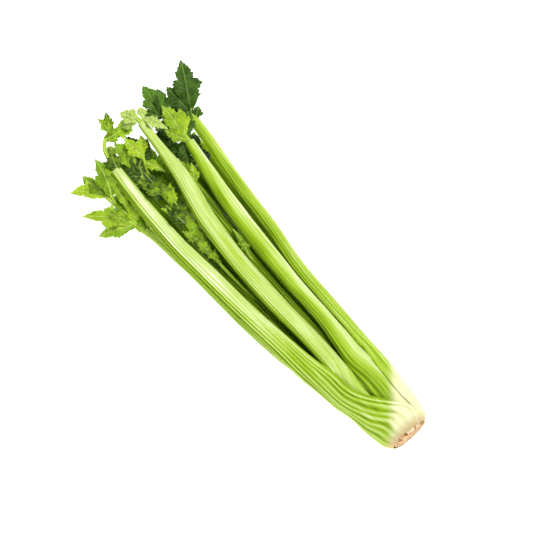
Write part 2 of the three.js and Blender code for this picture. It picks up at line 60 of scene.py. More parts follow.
def addNode(tree, kind, inputs=None, stops=None, **settings):
    node = tree.nodes.new("ShaderNode" + kind)
    for name, value in settings.items():
        setattr(node, name, value)
    for name, value in (inputs or {}).items():
        if isinstance(value, bpy.types.NodeSocket):
            tree.links.new(value, node.inputs[name])
        else:
            node.inputs[name].default_value = value
    if stops:
        ramp = node.color_ramp.elements
        while len(ramp) < len(stops):
            ramp.new(1)
        for stop, (position, colour) in zip(ramp, stops):
            stop.position = position
            stop.color = linear(colour)
    return node


def newMaterial(name):
    material = bpy.data.materials.new(name)
    material.use_nodes = True
    material.node_tree.nodes.clear()
    return material, material.node_tree


def finishMaterial(material, inputs):
    shader = addNode(material.node_tree, "BsdfPrincipled", inputs)
    addNode(material.node_tree, "OutputMaterial", {"Surface": shader.outputs[0]})
    return material


def addGrid(name, columns, rows):  # a sheet of quads, and the column and row of each vertex
    bpy.ops.object.select_all(action="DESELECT")
    bpy.ops.mesh.primitive_grid_add(x_subdivisions=columns, y_subdivisions=rows, size=2)
    sheet = bpy.context.active_object
    sheet.name = name
    spots = [(round((v.co.x + 1) / 2 * columns), round((v.co.y + 1) / 2 * rows))
             for v in sheet.data.vertices]
    return sheet, spots


def layOut(sheet, points, surface, values):
    # moves the vertices, writes the surface coordinates in metres and adds the named values
    mesh = sheet.data
    mesh.vertices.foreach_set("co", [c for point in points for c in point])
    layer = mesh.uv_layers.active.data
    for loop in mesh.loops:
        layer[loop.index].uv = surface[loop.vertex_index]
    for name, numbers in values.items():
        attribute = mesh.attributes.new(name, "FLOAT", "POINT")
        attribute.data.foreach_set("value", numbers)
    mesh.update()


weld = 1e-6  # metres within which two vertices are one


def openEnd(tube):  # the edges of one open end, if there is one
    used = {}
    for face in tube.data.polygons:
        for key in face.edge_keys:
            used[key] = used.get(key, 0) + 1
    rim = [edge for edge in tube.data.edges if used.get(edge.key) == 1]
    if not rim:
        return []
    ends = [tube.data.vertices[edge.vertices[0]].co.x for edge in rim]
    middle = (min(ends) + max(ends)) / 2
    first = ends[0] < middle
    return [edge for edge, x in zip(rim, ends) if (x < middle) == first]


def weldSeam():  # joins the edges of a rolled sheet and stays in edit mode
    bpy.ops.object.mode_set(mode="EDIT")
    bpy.ops.mesh.select_all(action="SELECT")
    bpy.ops.mesh.remove_doubles(threshold=weld)


def faceOut():  # turns every face outward and leaves edit mode
    bpy.ops.mesh.select_all(action="SELECT")
    bpy.ops.mesh.normals_make_consistent(inside=False)
    bpy.ops.object.mode_set(mode="OBJECT")


def closeTube(tube, capMaterial=None):
    # joins the long seam of a rolled sheet and caps each open end
    weldSeam()
    for _ in range(2):  # one end, then the other
        bpy.ops.mesh.select_all(action="DESELECT")
        bpy.ops.object.mode_set(mode="OBJECT")
        rim = openEnd(tube)
        for edge in rim:
            edge.select = True
        bpy.ops.object.mode_set(mode="EDIT")
        if rim:
            bpy.ops.mesh.edge_face_add()
    faceOut()
    if capMaterial is not None:
        tube.data.materials.append(capMaterial)
        for face in tube.data.polygons:
            if len(face.vertices) > 4:  # only the caps
                face.material_index = 1


def choose(parts):
    bpy.ops.object.select_all(action="DESELECT")
    for part in parts:
        part.select_set(True)
    bpy.context.view_layer.objects.active = parts[0]


# degrees between two faces from which the edge stays sharp
creases = {"stalk": 50, "butt": 60, "leaf": 70}


def shadeSmooth(piece, kind):
    choose([piece])
    bpy.ops.object.shade_smooth_by_angle(angle=math.radians(creases[kind]))


def joinAll(parts, name):
    choose(parts)
    bpy.ops.object.join()
    parts[0].name = name
    shadeSmooth(parts[0], "leaf")
    return parts[0]


def runAlong(points):  # how far along the line each point lies
    run = [0.0]
    for a, b in zip(points, points[1:]):
        run.append(run[-1] + math.dist(a, b))
    return run


def stand(piece, node):  # the piece stands for that solid of the frame
    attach(piece, "root")
    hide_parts(node)


def fade(low, high, value):  # 0 below low, 1 above high, smooth between
    t = min(max((value - low) / (high - low), 0), 1)
    return t * t * (3 - 2 * t)


def stalkSkin():
    # Fresh celery skin, grown: moist but with no gloss, so its IOR is low; white where the earth
    # kept the light off it and yellow-green above, with pale strings on its ridges and deeper green
    # between that is partly painted shade in the grooves.
    material, tree = newMaterial("fresh celery skin")
    surface = addNode(tree, "UVMap", uv_map="UVMap").outputs[0]
    own = addNode(tree, "TexCoord").outputs["Object"]
    green = addNode(tree, "Attribute", attribute_name="green").outputs["Fac"]
    # the tone of each point; on the stalks it also holds painted shade in the grooves, painted light
    # and shade across the backs and rims, and painted shade on the inner stalks
    ridge = addNode(tree, "Attribute", attribute_name="ridge").outputs["Fac"]
    # strings 1.6 mm apart that run 60 mm before they blend into the next
    strings = addNode(tree, "Mapping", {
        "Vector": surface, "Scale": (1 / (60 * mm), 1 / (1.6 * mm), 1)})
    streak = addNode(tree, "TexNoise", {"Vector": strings.outputs[0], "Scale": 1.0, "Detail": 2.0})
    # clouds of paler and deeper green 45 mm long and 6 mm wide
    clouds = addNode(tree, "Mapping", {
        "Vector": surface, "Scale": (1 / (45 * mm), 1 / (6 * mm), 1)})
    cloud = addNode(tree, "TexNoise", {"Vector": clouds.outputs[0], "Scale": 1.0, "Detail": 3.0})
    # juice cells 0.5 mm across
    cells = addNode(tree, "TexNoise", {"Vector": own, "Scale": 1 / (0.5 * mm), "Detail": 1.0})
    streaky = addNode(tree, "Math", {0: streak.outputs["Fac"], 1: 0.45, 2: -0.22},
                      operation="MULTIPLY_ADD")
    cloudy = addNode(tree, "Math", {0: cloud.outputs["Fac"], 1: 0.7, 2: streaky.outputs[0]},
                     operation="MULTIPLY_ADD")
    tone = addNode(tree, "Math", {0: ridge, 1: 0.62, 2: cloudy.outputs[0]},
                   operation="MULTIPLY_ADD")
    tone = addNode(tree, "Math", {0: tone.outputs[0], 1: 0.2}, operation="SUBTRACT")
    leafy = addNode(tree, "ValToRGB", {"Fac": tone.outputs[0]}, stops=[
        (0.0, "#4a6803"), (0.3, "#86a80c"), (0.55, "#a9c63c"), (0.8, "#c9dc86"),
        (1.0, "#f0f6d4")])
    white = addNode(tree, "ValToRGB", {"Fac": tone.outputs[0]}, stops=[
        (0.0, "#ccd084"), (0.5, "#e6e6b4"), (1.0, "#f3f0cc")])
    edge = addNode(tree, "Math", {0: streaky.outputs[0], 1: 0.5, 2: green},
                   operation="MULTIPLY_ADD")
    share = addNode(tree, "MapRange", {"Value": edge.outputs[0], "From Min": 0.0, "From Max": 1.0},
                    interpolation_type="SMOOTHSTEP")
    colour = addNode(tree, "Mix", {0: share.outputs[0], 6: white.outputs[0], 7: leafy.outputs[0]},
                     data_type="RGBA")
    # the first 5 mm of a foot dried tan where the knife passed
    run = addNode(tree, "SeparateXYZ", {"Vector": surface})
    ragged = addNode(tree, "Math", {0: cloud.outputs["Fac"], 1: -8 * mm, 2: run.outputs["X"]},
                     operation="MULTIPLY_ADD")
    dry = addNode(tree, "MapRange", {"Value": ragged.outputs[0], "From Min": -2 * mm,
                                     "From Max": 5 * mm, "To Min": 0.75, "To Max": 0.0})
    colour = addNode(tree, "Mix", {0: dry.outputs[0], 6: colour.outputs[2],
                                   7: linear("#c9a06a")}, data_type="RGBA")
    grain = addNode(tree, "Math", {0: cells.outputs["Fac"], 1: 0.25, 2: streak.outputs["Fac"]},
                    operation="MULTIPLY_ADD")
    bump = addNode(tree, "Bump", {"Height": grain.outputs[0], "Strength": 0.35,
                                  "Distance": 0.3 * mm})
    return finishMaterial(material, {
        "Base Color": colour.outputs[2], "Roughness": 0.55, "IOR": 1.22, "Normal": bump.outputs[0],
        "Subsurface Weight": 0.18, "Subsurface Radius": (1.0, 1.0, 0.35),
        "Subsurface Scale": 2 * mm})


def cutFlesh():
    # Celery flesh left by a knife: wet, pale green and dotted with string ends 1.6 mm apart.
    material, tree = newMaterial("cut celery flesh")
    own = addNode(tree, "TexCoord").outputs["Object"]
    dots = addNode(tree, "TexVoronoi", {"Vector": own, "Scale": 1 / (1.6 * mm)})
    colour = addNode(tree, "ValToRGB", {"Fac": dots.outputs["Distance"]}, stops=[
        (0.12, "#8fae3c"), (0.3, "#cfdf8e"), (0.7, "#e6efbc")])
    return finishMaterial(material, {
        "Base Color": colour.outputs[0], "Roughness": 0.3, "IOR": 1.38})


def dryScar():
    # The root plate, trimmed and dried to cork: dull tan, with brown root ends out to its rim.
    material, tree = newMaterial("dried root plate")
    surface = addNode(tree, "UVMap", uv_map="UVMap").outputs[0]
    own = addNode(tree, "TexCoord").outputs["Object"]
    # root ends 2.4 mm apart and 12 mm long
    roots = addNode(tree, "Mapping", {
        "Vector": surface, "Scale": (1 / (2.4 * mm), 1 / (12 * mm), 1)})
    root = addNode(tree, "TexNoise", {"Vector": roots.outputs[0], "Scale": 1.0, "Detail": 3.0})
    # crumbs of cork 1.2 mm across
    crumbs = addNode(tree, "TexNoise", {"Vector": own, "Scale": 1 / (1.2 * mm), "Detail": 4.0})
    tone = addNode(tree, "Math", {0: crumbs.outputs["Fac"], 1: 0.35, 2: root.outputs["Fac"]},
                   operation="MULTIPLY_ADD")
    colour = addNode(tree, "ValToRGB", {"Fac": tone.outputs[0]}, stops=[
        (0.5, "#7a4212"), (0.6, "#bd7a3a"), (0.68, "#e6bd84"), (0.8, "#f6e4c0")])
    bump = addNode(tree, "Bump", {"Height": tone.outputs[0], "Strength": 0.8,
                                  "Distance": 0.8 * mm})
    return finishMaterial(material, {
        "Base Color": colour.outputs[0], "Roughness": 0.8, "IOR": 1.45,
        "Normal": bump.outputs[0]})


def leafBlade(name, deep, young, vein, roughness):
    # One face of a celery leaflet, grown: satin, with pale side veins that run forward from the
    # midrib every 4 mm and a net 1.4 mm wide between them, in blotches of green 7 mm across that are
    # partly random tone and partly painted shade of folds.
    material, tree = newMaterial(name)
    surface = addNode(tree, "UVMap", uv_map="UVMap").outputs[0]
    # the leaflet's tone: a random part, painted light on high leaflets and painted shade on low and
    # crowded ones
    tone = addNode(tree, "Attribute", attribute_name="tone").outputs["Fac"]
    halves = addNode(tree, "SeparateXYZ", {"Vector": surface})
    out = addNode(tree, "Math", {0: halves.outputs["Y"]}, operation="ABSOLUTE")
    lean = addNode(tree, "Math", {0: out.outputs[0], 1: -0.8, 2: halves.outputs["X"]},
                   operation="MULTIPLY_ADD")
    near = addNode(tree, "Math", {0: lean.outputs[0], 1: 2 * mm}, operation="PINGPONG")
    side = addNode(tree, "MapRange", {"Value": near.outputs[0], "From Min": 0.0,
                                      "From Max": 0.45 * mm, "To Min": 1.0, "To Max": 0.0})
    middle = addNode(tree, "MapRange", {"Value": out.outputs[0], "From Min": 0.3 * mm,
                                        "From Max": 0.8 * mm, "To Min": 0.6, "To Max": 0.0})
    veins = addNode(tree, "Math", {0: side.outputs[0], 1: 0.25}, operation="MULTIPLY")
    veins = addNode(tree, "Math", {0: veins.outputs[0], 1: middle.outputs[0]}, operation="MAXIMUM")
    net = addNode(tree, "TexVoronoi", {"Vector": surface, "Scale": 1 / (1.4 * mm)},
                  feature="DISTANCE_TO_EDGE")
    # blotches of green 7 mm across, partly random tone and partly painted shade of folds
    blotchAndFoldShade = addNode(tree, "TexNoise", {"Vector": surface, "Scale": 1 / (7 * mm), "Detail": 3.0})
    mix = addNode(tree, "Math", {0: blotchAndFoldShade.outputs["Fac"], 1: 1.9, 2: tone},
                  operation="MULTIPLY_ADD")
    mix = addNode(tree, "Math", {0: mix.outputs[0], 1: 0.95}, operation="SUBTRACT",
                  use_clamp=True)
    flesh = addNode(tree, "Mix", {0: mix.outputs[0], 6: linear(deep), 7: linear(young)},
                    data_type="RGBA")
    colour = addNode(tree, "Mix", {0: veins.outputs[0], 6: flesh.outputs[2], 7: linear(vein)},
                     data_type="RGBA")
    lift = addNode(tree, "Math", {0: net.outputs["Distance"], 1: 0.6, 2: veins.outputs[0]},
                   operation="MULTIPLY_ADD")
    bump = addNode(tree, "Bump", {"Height": lift.outputs[0], "Strength": 0.5,
                                  "Distance": 0.4 * mm})
    return finishMaterial(material, {
        "Base Color": colour.outputs[2], "Roughness": roughness, "IOR": 1.34,
        "Normal": bump.outputs[0], "Subsurface Weight": 0.25,
        "Subsurface Radius": (0.5, 1.0, 0.15), "Subsurface Scale": 1.2 * mm})


skin = stalkSkin()
flesh = cutFlesh()
scar = dryScar()
bladeFaces = {  # the upper and the lower face of each kind of leaf
    "bright": (leafBlade("young leaf, upper face", "#6a9006", "#a9c628", "#c6da70", 0.55),
               leafBlade("young leaf, lower face", "#98b83c", "#c6da70", "#dce9a4", 0.6)),
    "mid": (leafBlade("grown leaf, upper face", "#2f4c02", "#9cc01c", "#b0ca5a", 0.55),
            leafBlade("grown leaf, lower face", "#7d9c3a", "#b4ca62", "#cfdda0", 0.6)),
    "dark": (leafBlade("old leaf, upper face", "#294706", "#557c18", "#7fa048", 0.62),
             leafBlade("old leaf, lower face", "#5c8050", "#86a46c", "#a8c088", 0.58)),
}
bladeFaces["turned"] = bladeFaces["mid"][::-1]  # grown leaves that show their paler backs
print("materials made")


foot = {
    "axis": 27.6,  # height of the butt's axis
    "pitch": 4.1,  # from one ring of feet to the next ring in
    "start": (2.4, 9, 14, 19),  # where the feet of each ring begin
    # x, radius and wall of the outer ring's feet
    "ring": ((2.4, 17.5, 1.7), (4.5, 18.9, 2.6), (8, 21.2, 3.4), (17, 23.2, 3.6), (28, 24.8, 3.6)),
    "end": 20,  # from here the stalks open and are cut square
    "cut": 14.4,  # radius of the cut face
    "slant": 4.5,  # degrees that the cut leans
    "hug": (60, 104),  # up to the first x a rim lies against the ring inside it
    "overlap": 2.5,  # degrees that neighbouring feet grow into each other
}

# ring, foot span, opened span, ribs, rib depth, the shares of the back between which painted
# light and shade turn it from darker to paler and by how much, those between which its ribs grow
# plain, the side of a rim with a painted highlight, rows of x, y, z, facing, width, wall, curl
stalks = {
    "stalk_a": dict(ring=0, span=(-120, 42), opened=(-118, 12), ribs=9, depth=0.9,
                    pale=(-0.4, 0.15, 0.95), plain=(0, 0.4), paleRim=-1, rows=[
        (44, 24, 38.3, -66, 42.5, 3.8, 49), (60, 28.3, 37.5, -70, 39, 4.4, 41),
        (82, 31.3, 39, -60, 34, 5.2, 52), (100, 33.5, 38.5, -47, 28, 6, 64),
        (128, 36, 37.5, -38, 25, 6.8, 72), (171, 40, 36.5, -35, 23, 7.2, 76),
        (214, 43, 36.5, -35, 22, 7, 78), (258, 46, 37, -34, 20, 6.6, 78),
        (302, 45.5, 37.5, -32, 17.5, 6.2, 78), (341, 43.5, 38.5, -30, 15, 5.8, 80)]),
    "stalk_d": dict(ring=0, span=(46, 150), opened=(38, 146), ribs=8, depth=0.35,
                    pale=(-1.2, 0.5, 0.7), paleRim=1, rows=[
        (60, -26.4, 29, 87.5, 46.5, 4.2, 53.5), (82, -25.6, 29.5, 84, 37, 5.4, 50),
        (102, -24.6, 31, 76, 26, 7, 62), (132, -24.4, 31.5, 72, 23, 7.8, 72),
        (176, -24.8, 31.5, 70, 21.5, 8, 76), (220, -30, 32, 68, 20, 7.8, 78),
        (263, -33.4, 32, 62, 19, 7.4, 80), (307, -38.2, 33, 50, 17, 6.4, 80),
        (336, -40.9, 33, 45, 15, 5.6, 80)]),
    "stalk_g": dict(ring=0, span=(154, 236), ribs=9, depth=0.7, rows=[
        (60, 8.5, 0.8, 194, 35, 3.8, 37), (82, 4.5, 1.6, 190, 27, 4.6, 46),
        (102, 3, 3.2, 184, 21, 5.6, 60), (170, 7.5, 4.4, 180, 21, 6.6, 74),
        (250, 11.5, 4.2, 180, 19, 6, 78), (330, 13, 3.4, 178, 15, 5.2, 80)]),
    "stalk_e": dict(ring=1, span=(-170, -75), ribs=9, depth=0.8, rows=[
        (60, 20.5, 13.5, -130, 30, 3.8, 38), (84, 28.5, 17, -118, 23, 5, 52),
        (104, 33, 18, -110, 19.5, 5.6, 66), (128, 37.5, 18, -106, 19, 6.2, 74),
        (175, 43, 18.5, -102, 18, 6.2, 76), (218, 45.5, 18.5, -100, 16.5, 6, 78),
        (262, 50, 19, -98, 15, 5.4, 80), (280, 52.5, 20.5, -96, 14.5, 5.4, 80),
        (294, 56.5, 21.5, -94, 13, 5, 80)]),
    "stalk_b": dict(ring=1, span=(-71, -19), ribs=9, depth=0.55,
                    pale=(-0.95, -0.35, 0.6), plain=(-0.6, -0.1), rows=[
        (60, 15.5, 45.9, -36, 20, 4, 27), (82, 12.6, 46.9, -16, 19.5, 5.2, 46),
        (100, 12.3, 47, -8, 19, 6.2, 54), (126, 13, 47, -4, 19.5, 7, 58),
        (170, 15, 47.5, -2, 20.5, 7.4, 60), (213, 15.4, 48.5, -2, 20.5, 7.4, 60),
        (257, 11.8, 49.5, -1, 21, 7.2, 62), (279, 7.4, 50, 0, 20.5, 6.8, 66),
        (300, 3.8, 51, 0, 17.5, 6.2, 70), (327, 2.4, 52, 2, 12.5, 5.2, 80),
        (356, 0.5, 52.5, 4, 10.5, 4.6, 80)]),
    "stalk_c": dict(ring=1, span=(-16, 92), ribs=8, depth=0.55,
                    pale=(-0.75, 0.4, 0.8), plain=(-0.9, -0.2), rows=[
        (60, -10, 48, 28, 31, 4, 42), (84, -7, 46.8, 15, 25, 5.4, 58),
        (104, -8, 46, 12, 21, 6.2, 68), (128, -8.8, 46, 12, 18.5, 7, 74),
        (172, -8.6, 45.5, 10, 19.5, 7.2, 76), (215, -10.6, 45.5, 11, 20.5, 7, 76),
        (259, -13.6, 46, 12, 19, 6.6, 78), (285, -17, 46, 13, 16.5, 6, 80),
        (303, -19.5, 46, 14, 14, 5.6, 80), (318, -21.5, 46, 14, 12.5, 5.2, 80)]),
    "stalk_h": dict(ring=1, span=(96, 186), ribs=9, depth=0.7, rows=[
        (60, -13.6, 9.8, 140, 32, 3.8, 40), (82, -15.5, 10, 142, 25, 4.6, 50),
        (102, -17.2, 10, 144, 20, 5.6, 64), (170, -20.5, 8.4, 152, 19, 6.4, 76),
        (250, -26.5, 5.9, 164, 18, 6, 78), (333, -33, 3.6, 176, 15, 5.2, 80)]),
    "stalk_f": dict(ring=2, span=(-110, -20), ribs=7, depth=0.6, rows=[
        (60, 19.2, 35.5, -67, 25, 3.6, 37), (82, 20.5, 34.5, -54, 18, 4.2, 50),
        (102, 20.5, 32.5, -40, 15, 4.8, 66), (170, 23, 31, -8, 16.5, 5.4, 70),
        (250, 26, 31.5, -4, 15.5, 5, 74), (322, 28, 32, -8, 9.5, 4.2, 80)]),
    "stalk_i": dict(ring=2, span=(-16, 74), ribs=7, depth=0.6, rows=[
        (60, -4, 46, 17, 27, 3.6, 41), (82, 0, 41, 10, 19, 4.2, 52),
        (102, 0.8, 36.5, 6, 15, 4.8, 66), (170, 1.5, 34, 4, 14, 5.4, 78),
        (238, -0.4, 35, 4, 13, 4.8, 80), (298, -2, 36, 4, 11, 4.2, 80)]),
    "stalk_j": dict(ring=2, span=(78, 168), ribs=7, depth=0.6, rows=[
        (60, -15, 18.5, 120, 26, 3.6, 40), (82, -14.5, 21.5, 106, 18, 4.2, 52),
        (102, -12.5, 23, 98, 15, 4.8, 66), (170, -11.5, 25, 66, 14, 5.2, 76),
        (250, -9.8, 27, 30, 14.5, 4.8, 76), (318, -13, 28, 22, 12, 4.2, 78)]),
    "stalk_k": dict(ring=2, span=(172, 246), ribs=8, depth=0.6, rows=[
        (60, 9.9, 11, 206, 23, 3.6, 34), (82, 14.5, 12.5, 208, 18, 4.2, 48),
        (102, 19.5, 10.8, 206, 16, 5, 62), (170, 27, 6.4, 196, 18, 6, 76),
        (250, 30, 4.6, 188, 16, 5.8, 78), (328, 33, 2.6, 184, 14, 5.2, 80)]),
    "heart_1": dict(ring=3, span=(-95, 80), ribs=6, depth=0.4, rows=[
        (60, 4, 36, -14, 16, 3.4, 66), (100, 8, 25.5, -20, 11.5, 4, 78),
        (170, 11.5, 20, -10, 11, 4.4, 80), (300, 14, 22, 0, 8.5, 3.6, 80)]),
    "heart_2": dict(ring=3, span=(85, 260), ribs=6, depth=0.4, rows=[
        (60, 2, 22, 168, 16, 3.4, 66), (100, -1, 17, 160, 11.5, 4, 78),
        (170, -2, 19, 150, 11, 4.4, 80), (305, -5, 21, 140, 8.5, 3.6, 80)]),
}


def facing(degrees):  # the direction round x, 0 being up and 90 being -y
    turn = math.radians(degrees)
    return Vector((0, -math.sin(turn), math.cos(turn)))


def rowAt(rows, x):  # smooth interpolation of every column
    last = len(rows) - 1
    k = 0
    while k < last - 1 and x > rows[k + 1][0]:
        k += 1
    before, start, end, after = rows[max(k - 1, 0)], rows[k], rows[k + 1], rows[min(k + 2, last)]
    span = end[0] - start[0]
    t = min(max((x - start[0]) / span, 0), 1)
    found = []
    for column, value in enumerate(start):
        slopeIn = (end[column] - before[column]) / (end[0] - before[0]) * span
        slopeOut = (after[column] - value) / (after[0] - start[0]) * span
        rise = end[column] - value
        found.append(value + t * slopeIn + t * t * (3 * rise - 2 * slopeIn - slopeOut)
                     + t ** 3 * (slopeIn + slopeOut - 2 * rise))
    return found


def stalkRows(plan):  # the foot's rows, then the stalk's own
    start = foot["start"][plan["ring"]]
    rows = []
    for x in [start] + [row[0] for row in foot["ring"] if row[0] > start + 2]:
        _, outer, wall = rowAt(foot["ring"], x)
        radius = outer - plan["ring"] * foot["pitch"]
        first, last = plan.get("opened", plan["span"]) if x > foot["end"] else plan["span"]
        turn = (first + last) / 2
        back = facing(turn) * radius
        rows.append((x, back.y, foot["axis"] + back.z, turn, radius, wall,
                     (last - first) / 2 + foot["overlap"]))
    for x, y, z, turn, width, wall, curl in plan["rows"]:
        rows.append((x, y, z, turn, width / 2 / math.sin(math.radians(curl)) - wall / 2, wall,
                     curl))
    return rows


def knifeX(z):  # where the slanted cut stands at that height
    return (foot["axis"] + foot["cut"] - z) * math.tan(math.radians(foot["slant"]))


section = {
    "back": 7, "hollow": 18, "rim": 4,  # points of a rib, of the hollow and of a rim
    "bottom": 0.6,  # least radius left under the hollow
    "even": 0.75, "hugging": (1.25, 5),  # how a free wall and a clasping one thin towards a rim
    "lead": (0, 0.3, 0.8, 1.6),  # stations that round the foot
    "step": 4.5,  # between the other stations
    "tail": (0.5, 0.2, 0),  # stations that round the cut top
    "footRound": 1.6, "cutRound": 0.5,  # lengths of those roundings
    "footEdge": 0.35, "cutEdge": 0.86,  # shares of the wall left at each end
    "begin": (4, 18), "fullWall": 5,  # the ribs rise between these x, in a wall this thick
    "sway": (0.5, 90, 3),  # of the ribs: how many ribs, its length, its waves across
    "vary": (0.85, 0.6, 4, 200),  # rib strength and its change, waves across, length
    "plainShare": 0.3, "plainFrom": (60, 180),  # strength of plain ribs, x between which they fade
    "whiteShare": 0.35,  # rib strength left where the foot is white
    "sharp": 1.3, "edge": 6,  # powers that narrow a ridge and flatten the ribs at the rims
    "swell": (0.35, 22, 1.5),  # height of the broad swells, length, waves across
    # tones: 0 is the deepest green and 1 the palest; the ribs' contrast is partly pale strings and
    # partly painted shade in the grooves, and the last is painted shade on the inner stalks that lie
    # deep in the gaps
    "flat": 0.62, "contrast": 0.15, "leftRim": 0.3, "rightRim": 0.5, "paintedShade": 0.5,
    "paleFrom": (80, 220),  # x between which the painted light and shade of an outer stalk come in
    "paleRim": (0.5, (0.45, 1), (20, 80)),  # painted highlight on a rim: how much paler, between which shares and x
    "white": (26, 1.15, 11),  # where green begins at y = 0, how much later per mm to -y, its reach
    "ridgeLead": 6, "ridgeEven": 0.6,  # mm that green starts later on a ridge, the even tone
    "heartGreen": 0.55,  # how green the heart grows
}


def greenShare(x, y):  # the earth kept the foot white; the white reaches further up towards -y
    middle, slope, reach = section["white"]
    begins = middle - slope * y
    return fade(begins - reach, begins + reach, x)


def stalkSection(plan, row, thin, seed):
    # one closed section, from rim to rim over the ribbed back and home through the hollow, with
    # the tone of each point: how much of a ridge it is, and the painted light and shade laid over it
    x, y, z, turn, radius, wall, curl = row
    centre = Vector((x, y, z)) - facing(turn) * radius
    free = fade(*foot["hug"], x)

    def halves(share):  # of the wall, outside and inside its middle surface
        thinner, power = section["hugging"]
        even = math.sqrt(1 - section["even"] * share * share)
        hugging = 1 - thinner * abs(share) ** power
        return [wall / 2 * thin * (a + (even - a) * free) for a in (hugging, 1)]

    over, under = halves(1)
    rimHalf, rimMiddle = (over + under) / 2, (over - under) / 2
    reach = curl - math.degrees(rimHalf / radius)
    relief = plan["depth"] * fade(*section["begin"], x) * min(wall / section["fullWall"], 1) * thin
    # painted shade: the inner stalks of the third ring, deep in the gaps, are painted darker beyond
    # the foot, over their backs and rims
    paintedShade = section["paintedShade"] * (plan["ring"] == 2) * free
    swayBy, swayLength, swayAcross = section["sway"]
    usual, vary, varyAcross, varyLength = section["vary"]
    swell, swellLength, swellAcross = section["swell"]
    outer = plan["ring"] == 0
    points, ridges = [], []

    def put(share, height, spill, ridge):
        turnHere = turn + share * reach + math.degrees(spill / radius)
        points.append(centre + facing(turnHere) * (radius + height))
        ridges.append(ridge)

    def putRim(side, tone):  # over the right rim to the hollow, or the left one from it
        for i in range(1, section["rim"]):
            angle = math.pi / 2 * (1 - side) + side * math.pi * i / section["rim"]
            put(side, rimMiddle + rimHalf * math.cos(angle), side * rimHalf * math.sin(angle),
                tone - paintedShade)

    backPoints = plan["ribs"] * section["back"]
    for i in range(backPoints + 1):
        share = 2 * i / backPoints - 1
        sway = swayBy * noise.noise(Vector((x / swayLength, share * swayAcross, seed)))
        strength = usual + vary * noise.noise(Vector((share * varyAcross, seed, x / varyLength)))
        if "plain" in plan:
            plain = fade(*plan["plain"], share) * (fade(*section["plainFrom"], x) if outer else 1)
            strength *= 1 - (1 - section["plainShare"]) * plain
        strength *= section["whiteShare"] + (1 - section["whiteShare"]) * greenShare(x, y)
        ridge = 0.5 - 0.5 * math.cos(2 * math.pi * (plan["ribs"] * (share + 1) / 2 + sway))
        level = (1 - share ** section["edge"]) * strength
        height = relief * level * (ridge ** section["sharp"] - 0.5)
        # another seed, so that the swells don't follow the sway
        height += swell * thin * noise.noise(
            Vector((x / swellLength, share * swellAcross, seed + 7)))
        # the ribs' tone: pale strings on the ridges and deeper green in the grooves, partly painted
        # shade
        contrast = strength * min(plan["depth"] + section["contrast"], 1)
        tone = section["flat"] + (ridge - section["flat"]) * contrast - paintedShade
        # painted light and shade across the back: paler towards -y, where the key light comes from,
        # and darker on the other side
        if "pale" in plan:
            low, high, amount = plan["pale"]
            amount *= fade(*section["paleFrom"], x) if outer else 1
            tone += amount * (fade(low, high, share) - 0.5)
        # a painted highlight along one rim: the -y rim of one stalk where the key light falls, the
        # +y rim of another lit from the floor
        if "paleRim" in plan:
            paler, shares, stretch = section["paleRim"]
            tone += paler * fade(*shares, share * plan["paleRim"]) * fade(*stretch, x)
        put(share, halves(share)[0] + height, 0, tone)
    putRim(1, section["rightRim"])
    for i in range(section["hollow"] + 1):
        share = 1 - 2 * i / section["hollow"]
        put(share, -min(halves(share)[1], radius - section["bottom"]), 0, 0)
    putRim(-1, section["leftRim"])
    points.append(points[0])
    ridges.append(ridges[0])
    return points, ridges


def stalkStations(start, end):  # the x of every section
    first, last = start + section["lead"][-1], end - section["tail"][0]
    count = round((end - start - 2 * section["lead"][-1]) / section["step"])
    body = [first + (last - first) * i / count for i in range(1, count + 1)]
    return [start + x for x in section["lead"]] + body + [end - x for x in section["tail"][1:]]


def makeStalk(node, plan, seed):
    rows = stalkRows(plan)
    start, end = rows[0][0], rows[-1][0]
    stations = stalkStations(start, end)
    sections = []
    for x in stations:
        lead, tail = (x - start) / section["footRound"], (end - x) / section["cutRound"]
        near = min(lead, tail, 1)
        thin = max(math.sqrt(1 - (1 - near) ** 2), section["footEdge" if lead < 1 else "cutEdge"])
        sections.append(stalkSection(plan, rowAt(rows, x), thin, seed))
    stalk, spots = addGrid(node + "_fine", len(stations) - 1, len(sections[0][0]) - 1)
    lengths = [runAlong(points) for points, _ in sections]
    points, surface, green, ridges = [], [], [], []
    for i, j in spots:
        point = sections[i][0][j].copy()
        if plan["ring"] == 0 and point.x < foot["end"]:
            spare = 1 - (point.x - start) / (foot["end"] - start)
            point.x += max(knifeX(point.z) - start, 0) * spare
        point.z = max(point.z, 0.0)
        ridge = sections[i][1][j]
        share = greenShare(point.x - section["ridgeLead"] * (ridge - section["ridgeEven"]), point.y)
        share *= section["heartGreen"] if plan["ring"] == 3 else 1
        points.append(place(*point))
        surface.append((stations[i] * mm, lengths[i][j] * mm + seed))
        green.append(share)
        ridges.append(ridge)
    layOut(stalk, points, surface, {"green": green, "ridge": ridges})
    stalk.data.materials.append(skin)
    closeTube(stalk, flesh)
    shadeSmooth(stalk, "stalk")
    stand(stalk, node)


for seed, (node, plan) in enumerate(stalks.items()):
    makeStalk(node, plan, seed)
print("stalks made:", len(stalks))


butt = {
    # x and radius: the cut face, the dry collar, and the core that steps in behind the feet
    "profile": ((0, 0), (0, 3), (0, 6), (0, 9), (0, 12), (0, 13.6), (0.25, 14.4), (0.7, 14.9),
                (1.2, 15.3), (1.8, 15.7), (2.3, 16.0), (4.5, 16.8), (8.4, 18.3), (8.5, 14.8),
                (13.6, 16.1), (13.7, 11.2), (18.6, 12.3), (18.7, 7), (25, 0)),
    "around": 160,
    "fine": 3,  # steps between two rows of the profile
    "relief": 0.55,  # height of the root ends
    "grain": ((1, 9, 12), (0.5, 20, 6)),  # their strength, waves round and length
    "dry": ((1, 9), (3, 5)),  # they rise between these radii and end between these x
    "rim": 13,  # from this radius they also widen the butt
    "collar": 8.4,  # x at which the dry collar ends
    "inward": 0.5,  # share of their height that is cut into the face
}


